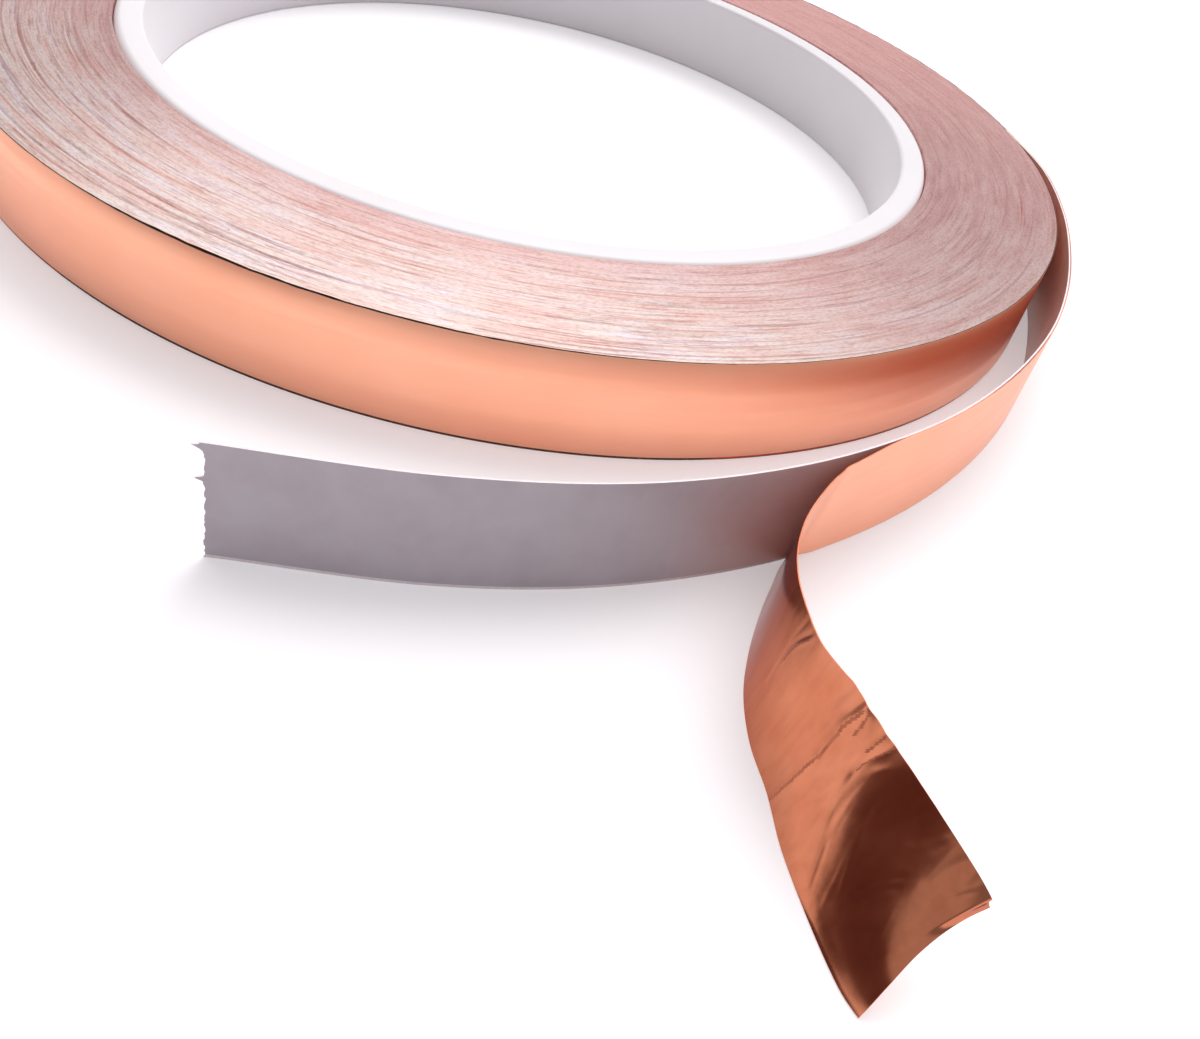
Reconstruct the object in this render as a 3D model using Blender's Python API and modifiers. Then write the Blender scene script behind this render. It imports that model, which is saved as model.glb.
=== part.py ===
"""A roll of copper foil tape lying flat, its last turn unwound and peeled from the backing paper.

Run it with Blender 4.5. Units are metres, +Z is up and the roll rests on Z = 0 with its axis upright.
The origin is the middle of the base of the whole part's box, so the roll's axis stands behind it.
"""

from math import cos, pi, radians, sin

import bmesh
import bpy
from mathutils import Vector

for old in list(bpy.data.objects):
    bpy.data.objects.remove(old, do_unlink=True)

MM = 0.001

# Driving dimensions of the roll
tape_width = 8.8 * MM
bore_diameter = 76.4 * MM
core_wall = 2.6 * MM
wound_thickness = 13.2 * MM
rim_rounding = 0.5 * MM
fit_clearance = 0.3 * MM

# The end faces of the winding: every second band of turns stands back a little
turn_bands = 7
band_step = 0.12 * MM

# The loose end: backing paper, called the liner, with the foil on its outer face up to the peel
liner_thickness = 0.25 * MM
foil_thickness = 0.25 * MM
ply_clearance = 0.3 * MM

# Bearings about the roll's axis, from +X towards +Y, in degrees
unwind_bearing = 12.0
peel_bearing = -65.8
liner_end_bearing = -100.0

# How far the liner's middle stands off the winding, in millimetres, at even steps after it leaves it
LINER_STAND_OFF = (0.6, 0.75, 1.25, 2.45, 4.2, 6.25, 8.55, 11.0, 13.15, 15.1, 17.2)

# The free foil: its lower edge on the floor, in millimetres from the peel, and its lean in degrees
FOIL_FREE = (
    (-1.8, -1.5, 7.0),
    (-3.3, -3.7, 5.0),
    (-4.6, -7.2, 2.0),
    (-5.6, -11.1, 1.0),
    (-5.9, -14.9, 4.5),
    (-5.7, -18.7, 12.0),
    (-4.8, -22.0, 18.0),
    (-4.3, -25.2, 27.0),
    (-3.6, -28.4, 37.0),
    (-2.4, -31.2, 43.0),
    (-1.1, -33.8, 46.0),
)

# The foil's cut end: how far the leaning edge stops short, and how far the cut bows in
cut_slant = 2.0 * MM
cut_bow = 0.5 * MM

# Fineness of the mesh
turned_steps = 128
strip_steps = 60
strip_rows = 3
foil_stations = 20

# Sizes that follow
core_inner = bore_diameter / 2
core_outer = core_inner + core_wall
winding_inner = core_outer + fit_clearance
winding_outer = winding_inner + wound_thickness
first_stand_off = ply_clearance + liner_thickness / 2
ply_pitch = liner_thickness / 2 + ply_clearance + foil_thickness / 2


def smooth_between(points, share):
    """Give the point at a share of the way along a smooth curve through the points."""
    spans = len(points) - 1
    place = min(max(share, 0.0), 1.0) * spans
    span = min(int(place), spans - 1)
    t = place - span
    before, start, end, after = (
        points[min(max(span + i, 0), spans)] for i in (-1, 0, 1, 2)
    )
    return 0.5 * (
        2 * start
        + (end - before) * t
        + (2 * before - 5 * start + 4 * end - after) * t * t
        + (3 * start - before - 3 * end + after) * t * t * t
    )


def outer_side(points, share):
    """Give the level direction to the left of a way at a share along it, away from the roll."""
    step = 0.002
    ahead = smooth_between(points, share + step) - smooth_between(points, share - step)
    return Vector((-ahead.y, ahead.x, 0.0)).normalized()


def polar(radius, bearing):
    """Give a point on the floor by its distance and bearing from the roll's axis."""
    return Vector((cos(radians(bearing)), sin(radians(bearing)), 0.0)) * radius


# The liner's way over the floor, from where it leaves the winding
stand_offs = [first_stand_off, *(gap * MM for gap in LINER_STAND_OFF)]
unwound = liner_end_bearing - unwind_bearing
liner_way = [
    polar(winding_outer + gap, unwind_bearing + unwound * i / (len(stand_offs) - 1))
    for i, gap in enumerate(stand_offs)
]

# The foil's way: along the liner's outer face up to the peel, then free
peel_share = (peel_bearing - unwind_bearing) / unwound
foil_way = []
for i in range(foil_stations):
    at = peel_share * i / (foil_stations - 1)
    foil_way.append(smooth_between(liner_way, at) + outer_side(liner_way, at) * ply_pitch)
peel = foil_way[-1]
foil_way += [peel + Vector((x, y, 0.0)) * MM for x, y, lean in FOIL_FREE]
foil_leans = [0.0] * foil_stations + [radians(lean) for x, y, lean in FOIL_FREE]
foil_leans[foil_stations - 1] = foil_leans[foil_stations] / 2
foil_length = sum((b - a).length for a, b in zip(foil_way, foil_way[1:]))

# The roll's axis stands where the middle of the whole part's box comes to the origin
right_edge = max(point.x for point in foil_way)
front_edge = min(point.y for point in foil_way)
roll_axis = Vector((winding_outer - right_edge, -winding_outer - front_edge, 0.0)) / 2


def material(name, colour, roughness, metallic):
    """Make a plain Principled material."""
    made = bpy.data.materials.new(name)
    made.use_nodes = True
    shader = made.node_tree.nodes["Principled BSDF"]
    shader.inputs["Base Color"].default_value = (*colour, 1.0)
    shader.inputs["Roughness"].default_value = roughness
    shader.inputs["Metallic"].default_value = metallic
    return made


def place_on_axis(name, mesh, finish):
    """Put a mesh into the scene as one named object that stands on the roll's axis."""
    thing = bpy.data.objects.new(name, mesh)
    thing.location = roll_axis
    mesh.materials.append(finish)
    bpy.context.scene.collection.objects.link(thing)
    return thing


def turned(name, profile, finish):
    """Turn a closed profile of (radius, height) points about the roll's axis."""
    mesh = bpy.data.meshes.new(name)
    count = len(profile)
    corners = [(radius, 0.0, height) for radius, height in profile]
    sides = [(i, (i + 1) % count) for i in range(count)]
    mesh.from_pydata(corners, sides, [])
    thing = place_on_axis(name, mesh, finish)
    screw = thing.modifiers.new("turn", "SCREW")
    screw.axis = "Z"
    screw.angle = 2 * pi
    screw.steps = turned_steps
    screw.render_steps = turned_steps
    screw.use_merge_vertices = True
    screw.merge_threshold = 0.01 * MM
    return thing


def strip(name, surface_point, thickness, finish):
    """Make a thin closed strip from a function of the share along it and the share across it."""
    work = bmesh.new()
    bmesh.ops.create_grid(
        work, x_segments=strip_steps, y_segments=strip_rows, size=1.0
    )
    for corner in work.verts:
        corner.co = surface_point((corner.co.x + 1) / 2, (corner.co.y + 1) / 2)
    mesh = bpy.data.meshes.new(name)
    work.to_mesh(mesh)
    work.free()
    thing = place_on_axis(name, mesh, finish)
    solid = thing.modifiers.new("thickness", "SOLIDIFY")
    solid.thickness = thickness
    solid.offset = 0.0
    solid.use_even_offset = True
    return thing


def liner_point(along, across):
    """Give a point of the liner, which stands upright over its way."""
    return smooth_between(liner_way, along) + Vector((0.0, 0.0, tape_width * across))


def foil_point(along, across):
    """Give a point of the foil, which leans out over its lower edge after the peel."""
    short = cut_slant * across + cut_bow * 4 * across * (1 - across)
    along *= 1 - short / foil_length
    lean = smooth_between(foil_leans, along)
    reach = outer_side(foil_way, along) * sin(lean) + Vector((0.0, 0.0, cos(lean)))
    lift = Vector((0.0, 0.0, foil_thickness / 2 * sin(lean)))
    return smooth_between(foil_way, along) + lift + reach * tape_width * across


copper = material("copper", (0.86, 0.45, 0.30), 0.4, 1.0)
paper = material("release_paper", (0.80, 0.76, 0.78), 0.6, 0.0)
plastic = material("white_plastic", (0.86, 0.85, 0.87), 0.4, 0.0)

# The core: a plain ring with rounded rims
core = turned(
    "core",
    [
        (core_outer, tape_width),
        (core_outer, 0.0),
        (core_inner, 0.0),
        (core_inner, tape_width),
    ],
    plastic,
)
rims = core.modifiers.new("rims", "BEVEL")
rims.width = rim_rounding
rims.segments = 2
rims.limit_method = "ANGLE"
rims.angle_limit = radians(60)

# The winding: its bands of turns, from the bore outwards, on both end faces
band = wound_thickness / turn_bands
upper_face = []
for i in range(turn_bands):
    height = tape_width - band_step * (i % 2)
    upper_face.append((winding_inner + band * i, height))
    upper_face.append((winding_inner + band * (i + 1), height))
lower_face = [(radius, tape_width - height) for radius, height in upper_face]
winding = turned(
    "tape_winding",
    [upper_face[-1], *reversed(lower_face), *upper_face[:-1]],
    copper,
)

liner = strip("liner_tail", liner_point, liner_thickness, paper)
foil = strip("foil_tail", foil_point, foil_thickness, copper)
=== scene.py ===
"""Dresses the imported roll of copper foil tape: turns, loose end, materials, light and camera.

Units are metres, unless a comment says otherwise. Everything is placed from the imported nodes, so
the roll's axis, its radii and the tape's width are measured from them. Bearings are in degrees
about the roll's axis, from +X towards +Y.
"""

from math import cos, pi, radians, sin

import bmesh
import bpy
import numpy as np
from mathutils import Matrix, Vector


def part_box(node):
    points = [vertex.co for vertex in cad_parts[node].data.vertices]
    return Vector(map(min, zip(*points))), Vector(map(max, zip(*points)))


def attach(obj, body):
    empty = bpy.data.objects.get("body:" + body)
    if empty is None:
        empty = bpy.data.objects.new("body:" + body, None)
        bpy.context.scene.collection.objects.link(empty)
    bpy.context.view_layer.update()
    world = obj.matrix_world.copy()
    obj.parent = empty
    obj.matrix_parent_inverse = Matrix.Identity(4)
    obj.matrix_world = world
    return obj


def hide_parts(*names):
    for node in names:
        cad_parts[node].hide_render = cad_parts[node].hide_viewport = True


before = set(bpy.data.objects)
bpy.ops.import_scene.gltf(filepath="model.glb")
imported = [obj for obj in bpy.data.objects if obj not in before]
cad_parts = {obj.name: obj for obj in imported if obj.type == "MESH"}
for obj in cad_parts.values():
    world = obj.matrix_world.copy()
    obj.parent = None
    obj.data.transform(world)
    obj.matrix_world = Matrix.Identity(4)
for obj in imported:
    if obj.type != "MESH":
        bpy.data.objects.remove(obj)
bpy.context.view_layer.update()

MM = 0.001
SEED = 7


def put(name, data):
    """Add an object to the scene."""
    thing = bpy.data.objects.new(name, data)
    bpy.context.scene.collection.objects.link(thing)
    return thing


# The roll's measures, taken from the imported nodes

def radii(node, axis):
    """Give a node's least and greatest distance from the roll's axis."""
    spots = np.array([corner.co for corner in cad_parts[node].data.vertices])
    away = np.hypot(spots[:, 0] - axis.x, spots[:, 1] - axis.y)
    return away.min(), away.max()


core_low, core_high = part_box("core")
axis = Vector(((core_low.x + core_high.x) / 2, (core_low.y + core_high.y) / 2, 0.0))
width = core_high.z - core_low.z
bore_radius, core_radius = radii("core", axis)
wound_inner, wound_outer = radii("tape_winding", axis)

# The camera: its place from the roll's axis, and its aim

CAMERA_PLACE = Vector((3.8, -119.57, 50.25)) * MM
CAMERA_YAW = radians(6.99)
CAMERA_DOWN = radians(39.96)
CAMERA_ROLL = radians(15.57)
PHOTO_WIDTH = 1200
FOCAL_PIXELS = 1141.4
SENSOR_WIDTH = 36.0  # in mm
CLIP_START, CLIP_END = 0.005, 20.0


def aim_camera():
    """Make the camera that looks at the roll as the photograph does."""
    data = bpy.data.cameras.new("camera")
    data.sensor_width = SENSOR_WIDTH
    data.lens = FOCAL_PIXELS / PHOTO_WIDTH * SENSOR_WIDTH
    data.clip_start = CLIP_START
    data.clip_end = CLIP_END
    camera = put("camera", data)
    level = cos(CAMERA_DOWN)
    ahead = Vector((sin(CAMERA_YAW) * level, cos(CAMERA_YAW) * level, -sin(CAMERA_DOWN)))
    right = Vector((cos(CAMERA_YAW), -sin(CAMERA_YAW), 0.0))
    up = right.cross(ahead)
    across = right * cos(CAMERA_ROLL) + up * sin(CAMERA_ROLL)
    upward = up * cos(CAMERA_ROLL) - right * sin(CAMERA_ROLL)
    turn = Matrix((across, upward, -ahead)).transposed()
    camera.matrix_world = Matrix.Translation(axis + CAMERA_PLACE) @ turn.to_4x4()
    bpy.context.scene.camera = camera


aim_camera()


# Material helpers

class Nodes:
    """Short ways to add nodes to a tree and to link them."""

    def __init__(self, tree):
        self.tree = tree

    def add(self, kind, inputs=None, **settings):
        """Add a node, set its properties, and set or link its inputs."""
        node = self.tree.nodes.new(kind)
        for label, value in settings.items():
            setattr(node, label, value)
        for label, value in (inputs or {}).items():
            self.feed(node, label, value)
        return node

    def feed(self, node, label, value):
        """Link a socket to an input, or set the input's value."""
        if isinstance(value, bpy.types.NodeSocket):
            self.tree.links.new(value, node.inputs[label])
        else:
            node.inputs[label].default_value = value

    def math(self, operation, first, second=0.0, third=0.0):
        """Add a Math node and give its result."""
        node = self.add("ShaderNodeMath", {0: first, 1: second, 2: third}, operation=operation)
        return node.outputs[0]

    def noise(self, vector, scale, detail=2.0, roughness=0.5):
        """Add a noise texture and give its value."""
        node = self.add(
            "ShaderNodeTexNoise",
            {"Vector": vector, "Scale": scale, "Detail": detail, "Roughness": roughness},
        )
        return node.outputs["Fac"]

    def ramp(self, value, *stops):
        """Map a value through a colour ramp given as (place, colour) stops."""
        node = self.add("ShaderNodeValToRGB", {"Fac": value})
        elements = node.color_ramp.elements
        while len(elements) < len(stops):
            elements.new(0.5)
        for element, (place, colour) in zip(elements, stops):
            element.position = place
            element.color = (*colour, 1.0)
        return node.outputs["Color"]

    def mix(self, share, first, second, blend="MIX"):
        """Mix two colours by a share."""
        node = self.add("ShaderNodeMix", data_type="RGBA", blend_type=blend)
        self.feed(node, 0, share)
        for place, value in ((6, first), (7, second)):
            self.feed(node, place, (*value, 1.0) if isinstance(value, tuple) else value)
        return node.outputs[2]


class Surface(Nodes):
    """A material with its Principled shader."""

    def __init__(self, name, **sockets):
        self.material = bpy.data.materials.new(name)
        self.material.use_nodes = True
        super().__init__(self.material.node_tree)
        self.shader = self.tree.nodes["Principled BSDF"]
        for label, value in sockets.items():
            self.shader.inputs[label.replace("_", " ")].default_value = value

    def place(self):
        """Add the coordinates that stay with the piece."""
        return self.add("ShaderNodeTexCoord").outputs["Object"]

    def shade(self, label, value):
        """Link one of the shader's inputs, or set its value."""
        self.feed(self.shader, label, value)

    def bump(self, height, distance):
        """Feed a height to the shader as a bump."""
        node = self.add("ShaderNodeBump", {"Height": height, "Distance": distance})
        self.shade("Normal", node.outputs["Normal"])


def srgb(red, green, blue):
    """Give the linear colour of an 8-bit screen colour."""
    return tuple(
        part / 12.92 if part <= 0.04045 else ((part + 0.055) / 1.055) ** 2.4
        for part in (red / 255, green / 255, blue / 255)
    )


def grey(value):
    """Give a grey colour."""
    return (value, value, value)


# Materials

TURNS = 100
# The bearing where the painted sheen on the end face is strongest
PAINTED_SHEEN_BEARING = radians(-109.0)  # where the end face is palest
turn_pitch = (wound_outer - wound_inner) / TURNS


def from_axis(made, place):
    """Give a spot's x, y and distance from the roll's axis."""
    parts = made.add("ShaderNodeSeparateXYZ", {"Vector": place})
    x, y = parts.outputs["X"], parts.outputs["Y"]
    return x, y, made.math("SQRT", made.math("MULTIPLY_ADD", x, x, made.math("MULTIPLY", y, y)))


def turns_material():
    """The end faces of the winding: the edges of paper and foil, turn after turn.

    The colour goes from rosy at the back to pale at the front left and at the outer turns, after
    the photograph. The pale front left is partly painted sheen and the darker back partly painted
    shade; the rest is the edges' own colour.
    """
    made = Surface(
        "tape_turns", Metallic=0.68, Roughness=0.48, Anisotropic=0.85, Anisotropic_Rotation=0.25
    )
    x, y, radius = from_axis(made, made.place())
    turn = made.math("DIVIDE", made.math("SUBTRACT", radius, wound_inner), turn_pitch)
    round_x = made.math("DIVIDE", x, radius)
    round_y = made.math("DIVIDE", y, radius)

    def streaks(reach, fineness, detail):
        """Noise that is long around the roll and narrow across its turns."""
        vector = made.add(
            "ShaderNodeCombineXYZ",
            {
                "X": made.math("MULTIPLY", round_x, reach),
                "Y": made.math("MULTIPLY", round_y, reach),
                "Z": made.math("MULTIPLY", turn, fineness),
            },
        )
        return made.noise(vector.outputs[0], 1.0, detail, 0.6)

    bands = streaks(6.0, 0.12, 2.0)
    lines = streaks(3.0, 0.5, 1.0)
    dashes = streaks(15.0, 0.55, 2.0)
    specks = streaks(110.0, 0.9, 2.0)
    flecks = streaks(190.0, 1.6, 2.0)
    rosy = made.ramp(
        bands, (0.36, srgb(228, 180, 178)), (0.5, srgb(235, 191, 188)), (0.64, srgb(241, 202, 198))
    )
    painted_sheen_colour = made.ramp(
        bands, (0.36, srgb(255, 226, 221)), (0.5, srgb(255, 240, 234)), (0.64, srgb(253, 243, 247))
    )
    # Painted sheen and shade go by bearing: this share is 1 where the sheen is strongest and 0
    # opposite
    towards = made.math("MULTIPLY", round_x, cos(PAINTED_SHEEN_BEARING))
    towards = made.math("MULTIPLY_ADD", round_y, sin(PAINTED_SHEEN_BEARING), towards)
    towards = made.math("MULTIPLY_ADD", towards, 0.5, 0.5)
    # Painted shade: darker rose towards the back
    painted_shade_share = made.ramp(towards, (0.05, grey(0.7)), (0.4, grey(0.0)))
    rosy = made.mix(painted_shade_share, rosy, srgb(212, 166, 163))
    # Painted sheen: paler towards the front left and towards the outer turns
    painted_sheen_share = made.ramp(
        towards, (0.44, grey(0.0)), (0.56, grey(0.26)), (0.775, grey(0.5)), (0.9, grey(1.0))
    )
    outwards = made.math("DIVIDE", turn, TURNS)
    outer_share = made.ramp(outwards, (0.0, grey(0.3)), (0.3, grey(0.75)), (0.75, grey(1.0)))
    painted_sheen_share = made.mix(1.0, painted_sheen_share, outer_share, "MULTIPLY")
    colour = made.mix(painted_sheen_share, rosy, painted_sheen_colour)
    # The whiter outermost turns show only where the painted sheen is
    rim_share = made.ramp(outwards, (0.93, grey(0.0)), (0.965, grey(0.6)))
    rim_share = made.math("MULTIPLY", rim_share, painted_sheen_share)
    colour = made.mix(rim_share, colour, srgb(255, 240, 232))
    line_tint = made.ramp(
        lines, (0.32, srgb(196, 146, 142)), (0.42, srgb(248, 234, 231)), (0.5, grey(1.0))
    )
    dash_tint = made.ramp(
        dashes, (0.30, srgb(200, 148, 140)), (0.42, srgb(248, 232, 228)), (0.52, grey(1.0))
    )
    speck_tint = made.ramp(specks, (0.32, srgb(222, 204, 202)), (0.55, grey(1.0)))
    contrast = made.math("MULTIPLY_ADD", painted_sheen_share, 0.34, 0.26)
    for share, tint in ((contrast, line_tint), (contrast, dash_tint), (0.6, speck_tint)):
        colour = made.mix(share, colour, tint, "MULTIPLY")
    fleck_share = made.ramp(flecks, (0.71, grey(0.0)), (0.77, grey(0.7)))
    colour = made.mix(fleck_share, colour, srgb(92, 48, 44))
    made.shade("Base Color", colour)
    tangent = made.add("ShaderNodeTangent", direction_type="RADIAL", axis="Z")
    made.shade("Tangent", tangent.outputs[0])
    made.bump(dashes, 0.04 * MM)
    return made.material


def mottled_material(name, noise, stops, relief=0.0, **sockets):
    """A material that changes only between a few near colours, by a noise.

    noise gives its scale, detail and roughness, and relief the height of its bump.
    """
    made = Surface(name, **sockets)
    mottle = made.noise(made.place(), *noise)
    made.shade("Base Color", made.ramp(mottle, *stops))
    if relief:
        made.bump(mottle, relief)
    return made.material


def copper_material():
    """The foil's bright outer side, with faint rolling lines and soft dents."""
    made = Surface("copper_bright", Metallic=1.0, Roughness=0.34)
    place = made.place()
    stretch = made.add("ShaderNodeMapping", {"Vector": place, "Scale": (60.0, 60.0, 2400.0)})
    lines = made.noise(stretch.outputs[0], 1.0, 4.0, 0.6)
    clouds = made.noise(place, 90.0, 3.0, 0.5)
    made.shade(
        "Base Color", made.ramp(clouds, (0.3, srgb(252, 181, 149)), (0.7, srgb(254, 189, 158)))
    )
    made.shade("Roughness", made.ramp(lines, (0.3, grey(0.36)), (0.7, grey(0.47))))
    made.bump(clouds, 0.10 * MM)
    return made.material


def adhesive_material():
    """The foil's inner side: copper under a thin coat of clear adhesive.

    The tint at grazing angles is fitted to the photograph.
    """
    made = Surface("copper_adhesive", Metallic=1.0, Roughness=0.22)
    place = made.place()
    clouds = made.noise(place, 300.0, 3.0, 0.5)
    slanted = {
        "Vector": place,
        "Rotation": (0.35, radians(40.0), 0.0),
        "Scale": (1900.0, 1900.0, 170.0),
    }
    across = made.add("ShaderNodeMapping", slanted)
    streaks = made.noise(across.outputs[0], 1.0, 2.0, 0.5)
    colour = made.ramp(
        clouds, (0.25, srgb(196, 117, 86)), (0.55, srgb(204, 127, 95)), (0.8, srgb(212, 136, 104))
    )
    tint = made.ramp(streaks, (0.3, srgb(232, 226, 222)), (0.6, grey(1.0)))
    made.shade("Base Color", made.mix(0.45, colour, tint, "MULTIPLY"))
    made.shade("Specular Tint", (*srgb(218, 199, 202), 1.0))
    made.shade("Roughness", made.ramp(clouds, (0.3, grey(0.12)), (0.7, grey(0.21))))
    made.bump(streaks, 0.003 * MM)
    return made.material


def across_share(made, place):
    """Give the cosine of the bearing about the roll's axis, by which the liner changes."""
    x, _, radius = from_axis(made, place)
    return made.math("DIVIDE", x, radius)


def paper_material():
    """The liner's outer side: smooth coated paper with a faint mottle, rosy near the peel. Its
    grey is partly painted shade.

    The rosy part stands in for warm light off the foil.
    """
    made = Surface("liner_paper", Roughness=0.32)
    place = made.place()
    mottle = made.noise(place, 260.0, 4.0, 0.6)
    fibres = made.noise(place, 2200.0, 3.0, 0.65)
    colour = made.ramp(
        mottle, (0.3, srgb(183, 171, 180)), (0.5, srgb(189, 179, 187)), (0.7, srgb(193, 185, 191))
    )
    near_peel = made.ramp(
        across_share(made, place), (0.22, grey(0.0)), (0.36, grey(0.6)), (0.42, grey(1.0))
    )
    made.shade("Base Color", made.mix(near_peel, colour, srgb(250, 196, 189)))
    made.bump(fibres, 0.01 * MM)
    return made.material


def copper_reflection_paper_material():
    """The liner's inner side where foil is still on its outer side: rose-brown, a painted
    reflection of the winding's copper that it faces.

    Whether copper showing through the paper adds to it isn't known.
    """
    made = Surface("liner_paper_copper_reflection", Roughness=0.3)
    place = made.place()
    mottle = made.noise(place, 300.0, 4.0, 0.6)
    colour = made.ramp(
        mottle, (0.3, srgb(206, 152, 138)), (0.5, srgb(214, 162, 148)), (0.7, srgb(222, 172, 158))
    )
    backed = made.ramp(across_share(made, place), (0.42, grey(0.0)), (0.7, grey(1.0)))
    made.shade("Base Color", made.mix(backed, srgb(246, 241, 244), colour))
    made.bump(mottle, 0.02 * MM)
    return made.material


def plastic_material():
    """The core: glossy white plastic with a faint lilac cast."""
    made = Surface("core_plastic", Roughness=0.3)
    place = made.place()
    clouds = made.noise(place, 60.0, 3.0, 0.5)
    fine = made.noise(place, 900.0, 2.0, 0.5)
    made.shade(
        "Base Color", made.ramp(clouds, (0.3, srgb(234, 229, 232)), (0.7, srgb(239, 235, 238)))
    )
    made.bump(fine, 0.01 * MM)
    return made.material


turns = turns_material()
copper = copper_material()
adhesive = adhesive_material()
paper = paper_material()
copper_reflection_paper = copper_reflection_paper_material()
plastic = plastic_material()

# The sides of the narrow gap inside the last turn: adhesive and paper edges, coloured very dark as
# painted shade
gap_shade_side = mottled_material(
    "gap_adhesive_and_shade",
    (1500.0, 3.0, 0.6),
    ((0.35, srgb(46, 24, 18)), (0.6, srgb(84, 46, 34)), (0.75, srgb(120, 74, 58))),
    Roughness=0.7,
)
# Painted shade at the bottom of a sharp crease in the foil's inner side: its own darker colour,
# partly folded adhesive
crease_shade = mottled_material(
    "copper_crease_shade",
    (1800.0, 2.0, 0.5),
    ((0.35, srgb(168, 98, 72)), (0.65, srgb(186, 112, 84))),
    Metallic=0.9,
    Roughness=0.4,
)
# The slit edge of the foil: dull bare copper
foil_edge = mottled_material(
    "copper_edge",
    (1200.0, 2.0, 0.5),
    ((0.35, srgb(232, 130, 92)), (0.65, srgb(248, 156, 118))),
    Metallic=0.35,
    Roughness=0.5,
)
# The liner's uncoated inner side past the peel, whiter than its coated side, whose grey is partly
# painted shade
paper_back = mottled_material(
    "liner_paper_back",
    (900.0, 4.0, 0.6),
    ((0.3, srgb(244, 239, 242)), (0.7, srgb(251, 248, 250))),
    0.01 * MM,
    Roughness=0.7,
)
# The liner's cut and torn edges, whiter than its faces
paper_edge = mottled_material(
    "liner_paper_edge",
    (3000.0, 3.0, 0.6),
    ((0.3, srgb(238, 226, 230)), (0.7, srgb(248, 240, 243))),
    Roughness=0.8,
)


# Mesh helpers

def piece(name, mesh, node, materials):
    """Put a mesh on the roll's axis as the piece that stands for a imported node."""
    thing = put(name, mesh)
    thing.location = axis
    for material in materials:
        mesh.materials.append(material)
    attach(thing, "root")
    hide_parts(node)


def grid_mesh(name, points, wrap_rows, wrap_columns, face_material):
    """Make a mesh from a (rows, columns, 3) array of points, its faces smooth."""
    rows, columns = points.shape[:2]
    mesh = bpy.data.meshes.new(name)
    last_row = rows if wrap_rows else rows - 1
    last_column = columns if wrap_columns else columns - 1
    faces = []
    kinds = []
    for i in range(last_row):
        below = ((i + 1) % rows) * columns
        for j in range(last_column):
            beside = (j + 1) % columns
            faces.append((i * columns + j, below + j, below + beside, i * columns + beside))
            kinds.append(face_material(i, j))
    mesh.from_pydata(points.reshape(-1, 3).tolist(), [], faces)
    mesh.polygons.foreach_set("material_index", kinds)
    mesh.polygons.foreach_set("use_smooth", [True] * len(faces))
    return mesh


def turned_points(profile, steps):
    """Turn a (steps, points, 2) array of radii and heights about the Z axis."""
    angles = np.linspace(0.0, 2 * pi, steps, endpoint=False)
    radius, height = profile[..., 0], profile[..., 1]
    return np.stack(
        [radius * np.cos(angles)[:, None], radius * np.sin(angles)[:, None], height], -1
    )


# The core: a ring with well rounded rims

CORE_STEPS = 256
CORE_ROUNDING = 0.42 * MM
CORE_OUTER_ROUNDING = 0.75 * MM
CORE_SEATING = 0.05 * MM
CORE_ARC_POINTS = 8


def rounded_ring(inner, outer, low, high, inner_rounding, outer_rounding, arc_points):
    """Give the closed outline of a ring's section with rounded corners."""
    outline = []
    corners = (
        (outer - outer_rounding, high - outer_rounding, 90, outer_rounding),
        (outer - outer_rounding, low + outer_rounding, 0, outer_rounding),
        (inner + inner_rounding, low + inner_rounding, -90, inner_rounding),
        (inner + inner_rounding, high - inner_rounding, -180, inner_rounding),
    )
    for radius, height, start, rounding in corners:
        for i in range(arc_points):
            turn = radians(start - 90 * i / (arc_points - 1))
            outline.append((radius + rounding * cos(turn), height + rounding * sin(turn)))
    return outline


core_roundings = (CORE_ROUNDING, CORE_OUTER_ROUNDING)
core_outline = np.array(
    rounded_ring(bore_radius, core_radius, 0.0, width, *core_roundings, CORE_ARC_POINTS)
)
core_profile = np.repeat(core_outline[None], CORE_STEPS, 0)
core_mesh = grid_mesh(
    "core_ring", turned_points(core_profile, CORE_STEPS), True, True, lambda i, j: 0
)
piece("core_ring", core_mesh, "core", [plastic])


# The winding: each turn's edge sits a little high or low, and the last turn stands off the rest

WINDING_STEPS = 400
TURN_RELIEF = 0.07 * MM
LAST_TURN_GAP = 0.25 * MM
CLOSED_GAP = 0.003 * MM
LAST_TURN_THICKNESS = 0.09 * MM
LAST_TURN_DEPTH = 0.7 * MM
CLOSED_DEPTH = 0.08 * MM
BANK_LIP = 0.06 * MM
LOW_LIP = 0.03 * MM
EDGE_CHAMFER = 0.02 * MM
LOW_CHAMFER = 0.28 * MM
# How far the last turn stands off, as a share of LAST_TURN_GAP, by bearing
GAP_BEARINGS = (-180, -126, -119, -112, -103, -94, -84, -76, -69, 40, 75, 110, 180)
GAP_SHARES = (0.0, 0.0, 0.35, 1.0, 0.9, 0.6, 0.5, 0.2, 0.0, 0.0, 0.5, 0.0, 0.0)
# How far the turns' edges stand back, by the number of the turn
SWELL_TURNS = (0, 12, 40, 70, 92, 99)
SWELL_SHARES = (0.7, 0.2, 0.5, 0.15, 0.3, 0.0)
# Radius in mm, first and last bearing, and depth in mm
LONG_GROOVES = ((53.05, -140, -104, 0.16), (51.9, -128, -96, 0.12), (50.95, -134, -110, 0.13))
SHORT_GROOVES = 220
# What the winding's faces are: places in its list of materials
TURN_EDGES, OUTER_COPPER, GAP_SIDES = 0, 1, 2


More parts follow.
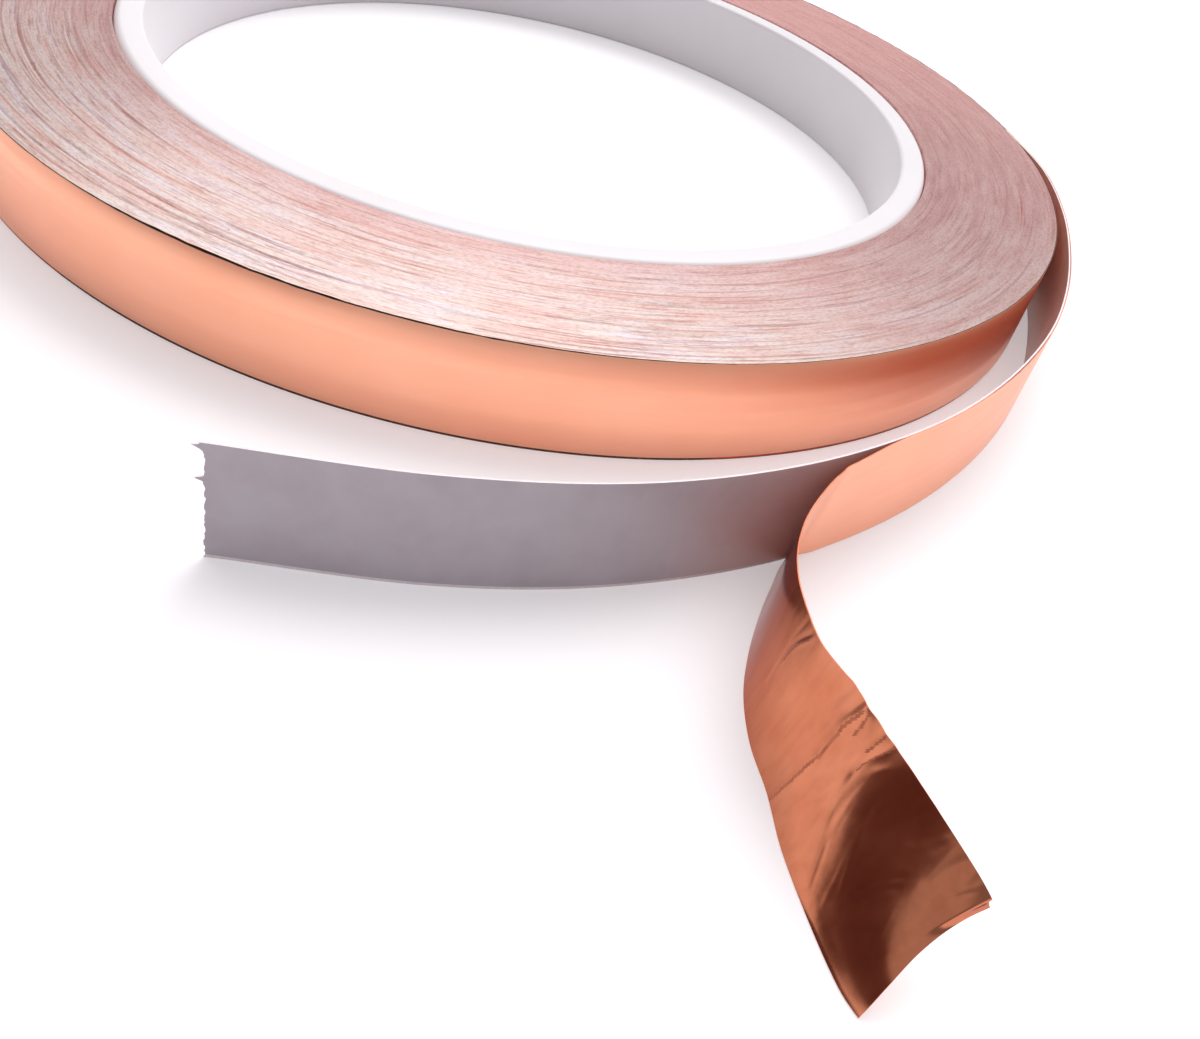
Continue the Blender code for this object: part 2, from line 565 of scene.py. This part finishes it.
def winding_profile():
    """Give the winding's section at every step round the roll, and what each stretch is."""
    rng = np.random.default_rng(SEED)
    angles = np.linspace(0.0, 2 * pi, WINDING_STEPS, endpoint=False)
    bearings = np.degrees(np.arctan2(np.sin(angles), np.cos(angles)))
    opening = np.interp(bearings, GAP_BEARINGS, GAP_SHARES)
    opening *= rng.uniform(0.65, 1.15, WINDING_STEPS)
    gap = LAST_TURN_GAP * opening + CLOSED_GAP
    opened = np.clip(opening * 4, 0.0, 1.0)
    gap_floor = width - CLOSED_DEPTH - (LAST_TURN_DEPTH - CLOSED_DEPTH) * opened
    last_inner = wound_outer - LAST_TURN_THICKNESS
    bank = last_inner - gap
    inner = core_radius + CORE_SEATING
    share = np.linspace(0.0, 1.0, TURNS)
    rest_radius = (inner + (last_inner - inner) * share) / MM

    def end_face(grooves):
        """How far each turn's edge stands back from the end face, at every step."""
        base = rng.uniform(0.0, 1.0, TURNS)
        wave = np.zeros((WINDING_STEPS, TURNS))
        for harmonic in (1, 2, 3, 5, 8):
            phase = rng.uniform(0.0, 2 * pi, TURNS)
            wave += np.cos(harmonic * angles[:, None] + phase[None]) / harmonic
        swell = np.interp(np.arange(TURNS), SWELL_TURNS, SWELL_SHARES)
        depth = TURN_RELIEF * np.clip(0.45 * base + 0.18 + 0.06 * wave + 0.4 * swell, 0.0, 1.2)
        for radius, first, last, deep in grooves:
            turn = int(np.abs(rest_radius - radius).argmin())
            middle, half = (first + last) / 2, (last - first) / 2
            off = (bearings - middle + 180) % 360 - 180
            depth[:, turn] += deep * MM * np.clip(1 - (off / half) ** 2, 0.0, 1.0) ** 0.5
        return depth

    def short_grooves():
        """Give the places where single turns lie low for a short way."""
        grooves = []
        for i in range(SHORT_GROOVES):
            at, half = rng.uniform(-180.0, 180.0), rng.uniform(2.0, 11.0)
            radius = rng.uniform(rest_radius[1], rest_radius[-2])
            grooves.append((radius, at - half, at + half, rng.uniform(0.03, 0.12)))
        return grooves

    reach = inner + (bank - inner)[:, None] * share[None]
    top = np.stack([reach, width - end_face((*LONG_GROOVES, *short_grooves()))], -1)
    base = np.stack([reach, end_face(short_grooves())], -1)[:, ::-1]
    column = np.ones(WINDING_STEPS)

    def line(*spots):
        """Stack (radius, height) spots, each a number or a value for every step."""
        return np.stack([np.stack([r * column, z * column], -1) for r, z in spots], 1)

    high_lip = width - rng.uniform(0.01, 0.05, WINDING_STEPS) * MM
    upper_groove = line(
        (bank, width - BANK_LIP),
        (bank, gap_floor),
        (last_inner, gap_floor),
        (last_inner, high_lip),
    )
    outer_face = line(
        (wound_outer - EDGE_CHAMFER, high_lip),
        (wound_outer, high_lip - EDGE_CHAMFER),
        (wound_outer, width * 0.66),
        (wound_outer, width * 0.33),
        (wound_outer, LOW_LIP + LOW_CHAMFER),
        (wound_outer - LOW_CHAMFER, LOW_LIP),
    )
    lower_groove = line(
        (last_inner, LOW_LIP),
        (last_inner, width - gap_floor),
        (bank, width - gap_floor),
        (bank, BANK_LIP),
    )
    stretches = [
        (top, TURN_EDGES),
        (upper_groove, GAP_SIDES),
        (outer_face, OUTER_COPPER),
        (lower_groove, GAP_SIDES),
        (base, TURN_EDGES),
    ]
    kinds = []
    for points, kind in stretches:
        kinds += [kind] * points.shape[1]
    # The step down into the gap gets the gap's painted shade too
    kinds[TURNS - 1] = GAP_SIDES  # the step from the turns' edges down into the gap
    return np.concatenate([points for points, _ in stretches], 1), kinds


profile, winding_kinds = winding_profile()
winding_mesh = grid_mesh(
    "wound_turns", turned_points(profile, WINDING_STEPS), True, True, lambda i, j: winding_kinds[j]
)
winding_mesh.set_sharp_from_angle(angle=radians(60))
piece("wound_turns", winding_mesh, "tape_winding", [turns, copper, gap_shade_side])


# The loose end: the same ways over the floor as the solids take

UNWIND_BEARING = 12.0
PEEL_BEARING = -65.8
LINER_END_BEARING = -100.0
# How far the liner stands off the winding, in mm, at even steps of bearing up to its end
LINER_STAND_OFF = (0.6, 0.75, 1.25, 2.45, 4.2, 6.25, 8.55, 11.0, 13.15, 15.1, 17.2)
# The free foil: x and y from the peel in mm, and the lean of its low and high edge in degrees
FOIL_FREE = (
    (-2.11, -1.51, 9.2, 6.0),
    (-3.44, -4.75, 5.6, 2.6),
    (-4.52, -8.11, 2.9, 0.2),
    (-5.34, -11.49, 3.1, 1.1),
    (-5.77, -14.85, 6.0, 5.2),
    (-5.54, -18.37, 9.1, 10.6),
    (-4.72, -21.66, 15.6, 20.4),
    (-4.10, -25.31, 24.2, 33.6),
    (-2.80, -29.68, 30.9, 49.0),
    (-1.75, -32.49, 29.9, 72.9),
    (-0.91, -33.86, 26.6, 95.2),
)
FOIL_STATIONS = 20  # on the liner, up to the peel
# The strips start inside the winding. Their join still shows from the right and front right.
BURIED_START = -0.17 * MM
PAPER_THICKNESS = 0.14 * MM
FOIL_THICKNESS = 0.08 * MM
PLY_GAP = 0.02 * MM
# What a strip's faces are: places in its list of materials
OUTER_SIDE, INNER_SIDE, EDGE, OTHER = 0, 1, 2, 3


def smooth_between(points, share):
    """Give points at shares of the way along a smooth curve through the given points."""
    points = np.asarray(points, float)
    spans = len(points) - 1
    place = np.clip(share, 0.0, 1.0) * spans
    span = np.minimum(place.astype(int), spans - 1)
    t = (place - span)[:, None]
    before, start, end, after = (points[np.clip(span + i, 0, spans)] for i in (-1, 0, 1, 2))
    return 0.5 * (
        2 * start
        + (end - before) * t
        + (2 * before - 5 * start + 4 * end - after) * t ** 2
        + (3 * start - before - 3 * end + after) * t ** 3
    )


def outer_side(points, share):
    """Give the level directions to the left of a way, away from the roll."""
    step = 0.002
    ahead = smooth_between(points, share + step) - smooth_between(points, share - step)
    side = np.stack([-ahead[:, 1], ahead[:, 0], 0 * ahead[:, 0]], -1)
    return side / np.linalg.norm(side, axis=1, keepdims=True)


def polar(radius, bearing):
    """Give a point on the floor by its distance and bearing from the roll's axis."""
    return np.array([cos(radians(bearing)), sin(radians(bearing)), 0.0]) * radius


stand_offs = [BURIED_START, *(gap * MM for gap in LINER_STAND_OFF)]
unwound = LINER_END_BEARING - UNWIND_BEARING
liner_way = [
    polar(wound_outer + gap, UNWIND_BEARING + unwound * i / (len(stand_offs) - 1))
    for i, gap in enumerate(stand_offs)
]
ply_pitch = (PAPER_THICKNESS + FOIL_THICKNESS) / 2 + PLY_GAP
peel_share = (PEEL_BEARING - UNWIND_BEARING) / unwound
kept = peel_share * np.linspace(0.0, 1.0, FOIL_STATIONS)
foil_way = list(smooth_between(liner_way, kept) + outer_side(liner_way, kept) * ply_pitch)
peel = foil_way[-1]
foil_way += [peel + np.array([x, y, 0.0]) * MM for x, y, low, high in FOIL_FREE]
foil_leans = [(0.0, 0.0)] * FOIL_STATIONS
foil_leans += [(radians(low), radians(high)) for x, y, low, high in FOIL_FREE]
foil_leans[FOIL_STATIONS - 1] = tuple(lean / 2 for lean in foil_leans[FOIL_STATIONS])
foil_length = sum(np.linalg.norm(b - a) for a, b in zip(foil_way, foil_way[1:]))
liner_length = sum(np.linalg.norm(b - a) for a, b in zip(liner_way, liner_way[1:]))


def ribbon(name, middle, thickness, other_kind, low_edge=0):
    """Make a thin closed ribbon round a (along, across, 3) array of its middle's points.

    other_kind tells which faces of the inner side have a kind of their own. The lowest low_edge
    columns of the outer side look like the edge.
    """
    along = np.gradient(middle, axis=0)
    across = np.gradient(middle, axis=1)
    out = np.cross(across, along)
    out /= np.linalg.norm(out, axis=2, keepdims=True)
    half = out * thickness / 2
    columns = middle.shape[1]
    loop = np.concatenate([middle + half, (middle - half)[:, ::-1]], 1)

    def kind(i, j):
        """Outer side, inner side or edge."""
        if j < columns - 1:
            return EDGE if j < low_edge else OUTER_SIDE
        if columns - 1 < j < 2 * columns - 1:
            return OTHER if other_kind[i, 2 * columns - 2 - j] else INNER_SIDE
        return EDGE

    mesh = grid_mesh(name, loop, False, True, kind)
    work = bmesh.new()
    work.from_mesh(mesh)
    work.verts.ensure_lookup_table()
    for row in (0, middle.shape[0] - 1):
        first = row * 2 * columns
        last = first + 2 * columns - 1
        for j in range(columns - 1):
            corners = [first + j, first + j + 1, last - 1 - j, last - j]
            if row:
                corners.reverse()
            face = work.faces.new([work.verts[k] for k in corners])
            face.material_index = EDGE
    bmesh.ops.recalc_face_normals(work, faces=work.faces)
    work.to_mesh(mesh)
    work.free()
    mesh.set_sharp_from_angle(angle=radians(50))
    return mesh


# The liner: upright, faintly wavy, with its torn end

LINER_ROWS = 240
LINER_COLUMNS = 121
LINER_LOW_EDGE = 3  # columns, about 0.2 mm, as bright as the cut edge after the photograph
LINER_WAVE = 0.06 * MM
TEAR_JITTER = 0.05  # in mm
TEAR_BACK = 0.02  # in mm
TEAR_POWER = 12  # how late along the liner its rows begin to follow the tear
# The torn end: height as a share of the width, and reach past the liner's end in mm
TEAR = (
    (0.000, 0.30),
    (0.012, 0.10),
    (0.030, 0.02),
    (0.060, 0.20),
    (0.085, 0.06),
    (0.120, 0.22),
    (0.150, 0.24),
    (0.165, 0.08),
    (0.220, 0.14),
    (0.240, -0.04),
    (0.300, 0.14),
    (0.320, 0.02),
    (0.370, 0.08),
    (0.420, -0.06),
    (0.450, 0.10),
    (0.500, 0.02),
    (0.530, -0.12),
    (0.560, 0.06),
    (0.620, -0.06),
    (0.655, 0.06),
    (0.680, 0.12),
    (0.700, 0.86),
    (0.712, 0.70),
    (0.722, 0.06),
    (0.760, -0.08),
    (0.800, -0.02),
    (0.850, -0.16),
    (0.900, -0.06),
    (0.925, 0.04),
    (0.942, 0.20),
    (0.958, 0.55),
    (0.975, 1.12),
    (0.984, 0.40),
    (1.000, 0.30),
)


def liner_points():
    """Give the middle of the liner, its end torn to a ragged line."""
    rng = np.random.default_rng(SEED + 1)
    height = np.linspace(0.0, 1.0, LINER_COLUMNS)
    jitter = rng.uniform(-TEAR_JITTER, TEAR_JITTER, LINER_COLUMNS)
    tear = np.interp(height, *zip(*TEAR)) + jitter
    shares = np.linspace(0.0, 1.0, LINER_ROWS)
    last = smooth_between(liner_way, np.array([0.999, 1.0]))
    rows = []
    for share_up, longer in zip(height, tear):
        stretch = 1 + (longer - TEAR_BACK) * MM / liner_length
        eased = shares * (1 + (stretch - 1) * shares ** TEAR_POWER)
        spots = smooth_between(liner_way, np.minimum(eased, 1.0))
        beyond = np.maximum(eased - 1.0, 0.0)[:, None] * (last[1] - last[0]) / 0.001
        wave = LINER_WAVE * np.sin(shares * 31.0 + share_up * 1.5) * shares
        spots = spots + beyond + outer_side(liner_way, shares) * wave[:, None]
        spots[:, 2] = PAPER_THICKNESS * 0.1 + share_up * (width - PAPER_THICKNESS * 0.2)
        rows.append(spots)
    return np.stack(rows, 1)


# The faces of the liner's inner side that get the painted copper reflection, where the foil is
# still on
backed = np.zeros((LINER_ROWS - 1, LINER_COLUMNS - 1), bool)
backed[: int(peel_share * LINER_ROWS)] = True
liner_mesh = ribbon("liner_strip", liner_points(), PAPER_THICKNESS, backed, LINER_LOW_EDGE)
liner_kinds = [paper, paper_back, paper_edge, copper_reflection_paper]
piece("liner_strip", liner_mesh, "liner_tail", liner_kinds)


# The foil: smooth on the liner, creased where it was peeled off, cut to a point

FOIL_ROWS = 560
FOIL_COLUMNS = 69
FREE_ROWS = 0.8  # share of the rows that the free part takes
LEAN_STEPS = 8
UPRIGHT_SHARE = 0.998  # share of the width that the upright foil reaches
CREASED_FROM, CREASED_OVER = 12.0, 6.0  # mm past the peel, where the creases fade in
SMOOTH_FOOT = 0.9  # mm at the foil's low edge, where the creases fade out
# How far the cut runs back, in mm, at even heights
CUT_BACK = (0.0, 0.65, 1.44, 1.77, 1.03)
# Relief in mm towards the outer side, its reach in mm, the half width of the painted shade line in
# mm, and the places it runs through as (mm past the peel, mm across)
CREASES = (
    (-0.09, 0.30, 0.085, ((23.9, 0.0), (24.5, 2.0), (25.3, 4.7), (25.3, 6.2), (24.8, 8.2))),
    (0.04, 0.22, 0.0, ((18.9, 3.6), (19.6, 7.9))),
    (-0.03, 0.20, 0.05, ((19.4, 5.2), (19.9, 8.0))),
    (0.03, 0.20, 0.0, ((19.1, 6.4), (18.8, 8.4))),
    (-0.10, 0.34, 0.06, ((25.7, 7.2), (24.9, 8.6))),
    (-0.08, 0.30, 0.06, ((26.7, 7.4), (26.1, 8.8))),
    (0.09, 0.36, 0.0, ((23.6, 7.8), (23.4, 8.8))),
    (0.05, 0.26, 0.05, ((27.5, 6.2), (26.9, 8.8))),
    (-0.03, 0.22, 0.0, ((30.4, 6.2), (29.6, 8.6))),
    (0.03, 0.22, 0.0, ((31.4, 6.5), (30.8, 8.8))),
    (-0.03, 0.22, 0.0, ((32.0, 4.0), (32.3, 6.2))),
    (0.04, 0.12, 0.0, ((32.8, 4.7), (33.1, 5.4))),
    (0.035, 0.12, 0.0, ((32.5, 3.2), (33.3, 4.9))),
    (0.03, 0.22, 0.0, ((33.9, 6.6), (33.3, 8.4))),
    (-0.03, 0.22, 0.0, ((35.0, 6.6), (33.8, 8.7))),
    (0.02, 0.30, 0.0, ((28.6, 4.0), (28.2, 7.0))),
)
FINE_CREASES = 60


def line_distance(along, across, places):
    """Give how far spots on the strip are from a line through places on it, in millimetres."""
    nearest = np.full(np.broadcast(along, across).shape, np.inf)
    for (start_along, start_across), (end_along, end_across) in zip(places, places[1:]):
        run = np.array([end_along - start_along, end_across - start_across])
        length = np.hypot(*run)
        run /= length
        forward = (along - start_along) * run[0] + (across - start_across) * run[1]
        beyond = (forward - np.clip(forward, 0.0, length)) * 0.35
        aside = (along - start_along) * run[1] - (across - start_across) * run[0]
        nearest = np.minimum(nearest, np.hypot(aside, beyond))
    return nearest


def foil_points():
    """Give the middle of the foil, leaning, creased and cut, and where its creases get painted
    shade.
    """
    rng = np.random.default_rng(SEED + 2)
    across = np.linspace(0.0, 1.0, FOIL_COLUMNS)
    cut_back = smooth_between(np.array(CUT_BACK)[:, None], across)[:, 0] * MM
    start = (FOIL_STATIONS - 1) / (len(foil_way) - 1)
    row_places = np.linspace(0.0, 1.0, FOIL_ROWS)
    shares = np.interp(row_places, (0.0, 1 - FREE_ROWS, 1.0), (0.0, start, 1.0))
    leans = np.array(foil_leans)
    rows = []
    for share_out, short in zip(across, cut_back):
        reached = np.minimum(shares * (1 - short / foil_length), 1.0)
        low, high = smooth_between(leans, reached).T
        steps = (np.arange(LEAN_STEPS) + 0.5) / LEAN_STEPS * share_out
        lean = low[:, None] + (high - low)[:, None] * steps
        reach = width * share_out
        spots = smooth_between(foil_way, reached)
        spots += outer_side(foil_way, reached) * (np.sin(lean).mean(1) * reach)[:, None]
        rise = np.cos(lean).mean(1) * reach * UPRIGHT_SHARE
        spots[:, 2] += rise + FOIL_THICKNESS / 2 * np.sin(low)
        rows.append(spots)
    middle = np.stack(rows, 1)
    base = np.linalg.norm(np.diff(middle[:, 0], axis=0), axis=1)
    along = np.concatenate([[0.0], np.cumsum(base)])
    along = ((along - np.interp(start, shares, along)) / MM)[:, None]
    sideways = across[None] * width / MM
    relief = np.zeros(middle.shape[:2])
    crease_shade_mask = np.zeros(middle.shape[:2], bool)
    for depth, reach, dark, places in CREASES:
        away = line_distance(along, sideways, places)
        relief += depth * np.exp(-((away / reach) ** 2))
        crease_shade_mask |= away < dark
    for _ in range(FINE_CREASES):
        at, up = rng.uniform(17.0, 35.0), rng.uniform(1.0, 8.0)
        long, slant = rng.uniform(0.8, 2.6), rng.uniform(-0.4, -0.1)
        places = ((at, up), (at + slant * long, up + long))
        away = line_distance(along, sideways, places) / rng.uniform(0.1, 0.25)
        relief += rng.uniform(-0.009, 0.009) * np.exp(-(away ** 2))
    relief += 0.02 * np.sin(along * 0.9 + sideways * 0.5) * np.sin(sideways * 0.7 - along * 0.25)
    fade_in = np.clip((along - CREASED_FROM) / CREASED_OVER, 0.0, 1.0)
    relief *= fade_in * np.clip(sideways / SMOOTH_FOOT, 0.0, 1.0) * MM
    ahead = np.gradient(middle, axis=0)
    upward = np.gradient(middle, axis=1)
    out = np.cross(upward, ahead)
    out /= np.linalg.norm(out, axis=2, keepdims=True)
    creased = middle + out * relief[..., None]
    creased[..., 2] = np.clip(creased[..., 2], FOIL_THICKNESS / 2, width)
    return creased, crease_shade_mask[:-1, :-1]


foil_middle, foil_crease_shade = foil_points()
foil_mesh = ribbon("foil_strip", foil_middle, FOIL_THICKNESS, foil_crease_shade)
piece("foil_strip", foil_mesh, "foil_tail", [copper, adhesive, foil_edge, crease_shade])


# The floor, the studio around it and the light

FLOOR_SIZE = 6.0
FLOOR_COLOUR = (0.74, 0.715, 0.735, 1.0)
FLOOR_GLOW_COLOUR = (1.0, 0.98, 1.0, 1.0)
FLOOR_GLOW = 0.32
CARD_STEPS = 24
CARD_BEARINGS = (122.0, 238.0)
CARD_HEIGHTS = (0.05, 0.44)
CARD_DISTANCE = 0.60
CARD_COLOUR = (0.06, 0.03, 0.03, 1.0)
CARD_GLOW_COLOUR = (1.0, 0.5, 0.45, 1.0)
CARD_GLOW = 0.06
LIGHT_BEARING = radians(60.0)
LIGHT_HEIGHT = radians(50.0)
LIGHT_SOFTNESS = radians(44.0)
LIGHT_LEVEL = 1.8
# Height in the studio, from -1 to 1, and its brightness
SKY_LEVELS = ((0.06, 1.0), (0.20, 0.33), (0.50, 0.33), (0.66, 0.62))
# Direction, the cosines where the box begins and is full, and its strength
SOFTBOXES = (
    ((-0.38, 0.52, 0.76), 0.80, 0.97, 0.85),
    ((0.18, 0.43, 0.88), 0.84, 0.98, 0.85),
)


def lay_floor():
    """Lay a wide floor that the camera and the metal see as white, with the roll's shadow."""
    work = bmesh.new()
    bmesh.ops.create_grid(work, x_segments=1, y_segments=1, size=FLOOR_SIZE / 2)
    mesh = bpy.data.meshes.new("floor")
    work.to_mesh(mesh)
    work.free()
    floor = put("floor", mesh)
    made = Surface("floor_white", Roughness=0.9)
    made.shade("Base Color", FLOOR_COLOUR)
    made.shade("Specular IOR Level", 0.0)
    rays = made.add("ShaderNodeLightPath").outputs
    seen = made.math("MAXIMUM", rays["Is Camera Ray"], rays["Is Glossy Ray"])
    seen = made.math("MAXIMUM", seen, rays["Is Transmission Ray"])
    made.shade("Emission Color", FLOOR_GLOW_COLOUR)
    made.shade("Emission Strength", made.math("MULTIPLY", seen, FLOOR_GLOW))
    mesh.materials.append(made.material)


def stand_flag():
    """Stand a dark card to the left, out of the camera's sight, that the metal reflects."""
    spots = [
        (axis.x + CARD_DISTANCE * cos(b), axis.y + CARD_DISTANCE * sin(b), z)
        for b in np.radians(np.linspace(*CARD_BEARINGS, CARD_STEPS))
        for z in CARD_HEIGHTS
    ]
    faces = [(2 * i, 2 * i + 1, 2 * i + 3, 2 * i + 2) for i in range(CARD_STEPS - 1)]
    mesh = bpy.data.meshes.new("dark_card")
    mesh.from_pydata(spots, [], faces)
    card = put("dark_card", mesh)
    made = Surface("card_dark", Roughness=0.9)
    made.shade("Base Color", CARD_COLOUR)
    made.shade("Emission Color", CARD_GLOW_COLOUR)
    made.shade("Emission Strength", CARD_GLOW)
    mesh.materials.append(made.material)
    card.visible_camera = False
    card.visible_diffuse = False
    card.visible_shadow = False


def light_studio():
    """Light the roll from above, in a studio that is bright low down and has two soft boxes."""
    lamp = bpy.data.lights.new("soft_light", "SUN")
    lamp.energy = LIGHT_LEVEL
    lamp.angle = LIGHT_SOFTNESS
    light = put("soft_light", lamp)
    level = cos(LIGHT_HEIGHT)
    towards = Vector((cos(LIGHT_BEARING) * level, sin(LIGHT_BEARING) * level, sin(LIGHT_HEIGHT)))
    light.rotation_euler = towards.to_track_quat("Z", "Y").to_euler()
    light.location = axis + towards
    light.visible_glossy = False
    world = bpy.data.worlds.new("studio")
    bpy.context.scene.world = world
    world.use_nodes = True
    made = Nodes(world.node_tree)
    place = made.add("ShaderNodeTexCoord").outputs["Generated"]
    height = made.add("ShaderNodeSeparateXYZ", {"Vector": place}).outputs["Z"]
    total = made.ramp(height, *((at, (v, v * 0.985, v)) for at, v in SKY_LEVELS))
    for direction, least, most, level in SOFTBOXES:
        facing = made.add(
            "ShaderNodeVectorMath",
            {0: place, 1: Vector(direction).normalized()},
            operation="DOT_PRODUCT",
        )
        limits = {"From Min": least, "From Max": most, "To Min": 0.0, "To Max": 1.0}
        softbox = made.add(
            "ShaderNodeMapRange",
            {"Value": facing.outputs["Value"], **limits},
            interpolation_type="SMOOTHSTEP",
        )
        glow = (level, level * 0.98, level * 0.97)
        total = made.mix(softbox.outputs["Result"], total, glow, "ADD")
    made.feed(made.tree.nodes["Background"], "Color", total)


lay_floor()
stand_flag()
light_studio()
bpy.context.scene.view_settings.view_transform = "Standard"
